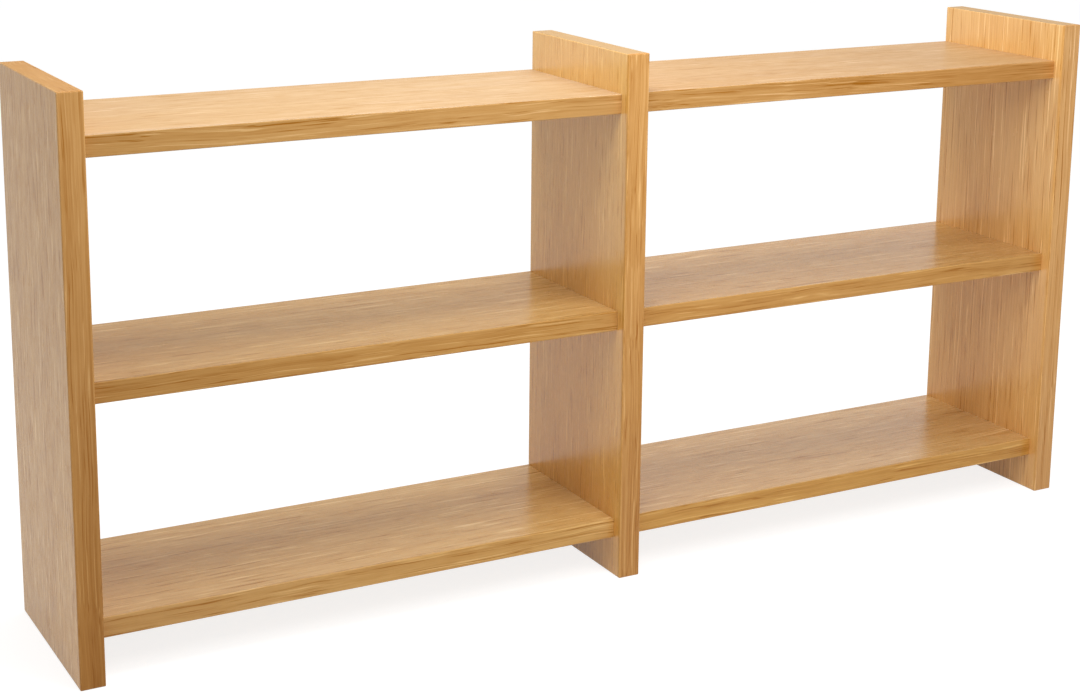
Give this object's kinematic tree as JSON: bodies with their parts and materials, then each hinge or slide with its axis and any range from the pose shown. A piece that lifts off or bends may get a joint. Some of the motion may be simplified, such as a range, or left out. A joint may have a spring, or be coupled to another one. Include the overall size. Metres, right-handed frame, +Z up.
{
  "type": "wall shelf",
  "caption": "Open oak wall shelf: upright boards carry fixed shelves in side-by-side bays on hidden cam fittings and dowels, with keyhole hangers in the rear edges.",
  "frame": {"origin": "on the wall plane, in the middle of the middle upright's rear edge, half way up", "axes": "+X along the shelves to the right seen from the front, +Y out of the back to the wall, +Z up"},
  "size_m": [1.266, 0.22, 0.6],
  "materials": {
    "oak_veneer": "oak veneer, satin clear lacquer",
    "oak_solid": "solid oak lipping, satin clear lacquer",
    "beech": "raw fluted beech",
    "zinc": "die-cast zinc alloy, nickel plated",
    "zinc_plate": "zinc-plated sheet steel",
    "steel": "zinc-plated steel"
  },
  "bodies": {
    "carcase": {"left_upright": "oak_veneer", "left_upright_lipping": "oak_solid", "middle_upright": "oak_veneer", "middle_upright_lipping": "oak_solid", "right_upright": "oak_veneer", "right_upright_lipping": "oak_solid", "left_top_shelf": "oak_veneer", "left_top_shelf_lipping": "oak_solid", "left_middle_shelf": "oak_veneer", "left_middle_shelf_lipping": "oak_solid", "left_bottom_shelf": "oak_veneer", "left_bottom_shelf_lipping": "oak_solid", "right_top_shelf": "oak_veneer", "right_top_shelf_lipping": "oak_solid", "right_middle_shelf": "oak_veneer", "right_middle_shelf_lipping": "oak_solid", "right_bottom_shelf": "oak_veneer", "right_bottom_shelf_lipping": "oak_solid", "left_top_bolt": "steel", "left_top_dowel": "beech", "left_middle_bolt": "steel", "left_middle_dowel": "beech", "left_bottom_bolt": "steel", "left_bottom_dowel": "beech", "middle_top_bolt": "steel", "middle_top_dowel": "beech", "middle_middle_bolt": "steel", "middle_middle_dowel": "beech", "middle_bottom_bolt": "steel", "middle_bottom_dowel": "beech", "right_top_bolt": "steel", "right_top_dowel": "beech", "right_middle_bolt": "steel", "right_middle_dowel": "beech", "right_bottom_bolt": "steel", "right_bottom_dowel": "beech", "left_hanger": "zinc_plate", "left_hanger_screw_upper": "steel", "left_hanger_screw_lower": "steel", "middle_hanger": "zinc_plate", "middle_hanger_screw_upper": "steel", "middle_hanger_screw_lower": "steel", "right_hanger": "zinc_plate", "right_hanger_screw_upper": "steel", "right_hanger_screw_lower": "steel"},
    "left_top_cam_left": {"left_top_cam_left": "zinc"},
    "left_top_cam_right": {"left_top_cam_right": "zinc"},
    "left_middle_cam_left": {"left_middle_cam_left": "zinc"},
    "left_middle_cam_right": {"left_middle_cam_right": "zinc"},
    "left_bottom_cam_left": {"left_bottom_cam_left": "zinc"},
    "left_bottom_cam_right": {"left_bottom_cam_right": "zinc"},
    "right_top_cam_left": {"right_top_cam_left": "zinc"},
    "right_top_cam_right": {"right_top_cam_right": "zinc"},
    "right_middle_cam_left": {"right_middle_cam_left": "zinc"},
    "right_middle_cam_right": {"right_middle_cam_right": "zinc"},
    "right_bottom_cam_left": {"right_bottom_cam_left": "zinc"},
    "right_bottom_cam_right": {"right_bottom_cam_right": "zinc"}
  },
  "joints": [
    {"name": "left_top_cam_left_turn", "type": "hinge", "parent": "carcase", "child": "left_top_cam_left", "pos_m": [-0.583, -0.146, 0.244], "axis": [0, 0, -1], "range_deg": [0, 180]},
    {"name": "left_top_cam_right_turn", "type": "hinge", "parent": "carcase", "child": "left_top_cam_right", "pos_m": [-0.037, -0.146, 0.244], "axis": [0, 0, -1], "range_deg": [0, 180]},
    {"name": "left_middle_cam_left_turn", "type": "hinge", "parent": "carcase", "child": "left_middle_cam_left", "pos_m": [-0.583, -0.146, 0], "axis": [0, 0, -1], "range_deg": [0, 180]},
    {"name": "left_middle_cam_right_turn", "type": "hinge", "parent": "carcase", "child": "left_middle_cam_right", "pos_m": [-0.037, -0.146, 0], "axis": [0, 0, -1], "range_deg": [0, 180]},
    {"name": "left_bottom_cam_left_turn", "type": "hinge", "parent": "carcase", "child": "left_bottom_cam_left", "pos_m": [-0.583, -0.146, -0.244], "axis": [0, 0, -1], "range_deg": [0, 180]},
    {"name": "left_bottom_cam_right_turn", "type": "hinge", "parent": "carcase", "child": "left_bottom_cam_right", "pos_m": [-0.037, -0.146, -0.244], "axis": [0, 0, -1], "range_deg": [0, 180]},
    {"name": "right_top_cam_left_turn", "type": "hinge", "parent": "carcase", "child": "right_top_cam_left", "pos_m": [0.037, -0.146, 0.244], "axis": [0, 0, -1], "range_deg": [0, 180]},
    {"name": "right_top_cam_right_turn", "type": "hinge", "parent": "carcase", "child": "right_top_cam_right", "pos_m": [0.583, -0.146, 0.244], "axis": [0, 0, -1], "range_deg": [0, 180]},
    {"name": "right_middle_cam_left_turn", "type": "hinge", "parent": "carcase", "child": "right_middle_cam_left", "pos_m": [0.037, -0.146, 0], "axis": [0, 0, -1], "range_deg": [0, 180]},
    {"name": "right_middle_cam_right_turn", "type": "hinge", "parent": "carcase", "child": "right_middle_cam_right", "pos_m": [0.583, -0.146, 0], "axis": [0, 0, -1], "range_deg": [0, 180]},
    {"name": "right_bottom_cam_left_turn", "type": "hinge", "parent": "carcase", "child": "right_bottom_cam_left", "pos_m": [0.037, -0.146, -0.244], "axis": [0, 0, -1], "range_deg": [0, 180]},
    {"name": "right_bottom_cam_right_turn", "type": "hinge", "parent": "carcase", "child": "right_bottom_cam_right", "pos_m": [0.583, -0.146, -0.244], "axis": [0, 0, -1], "range_deg": [0, 180]}
  ]
}
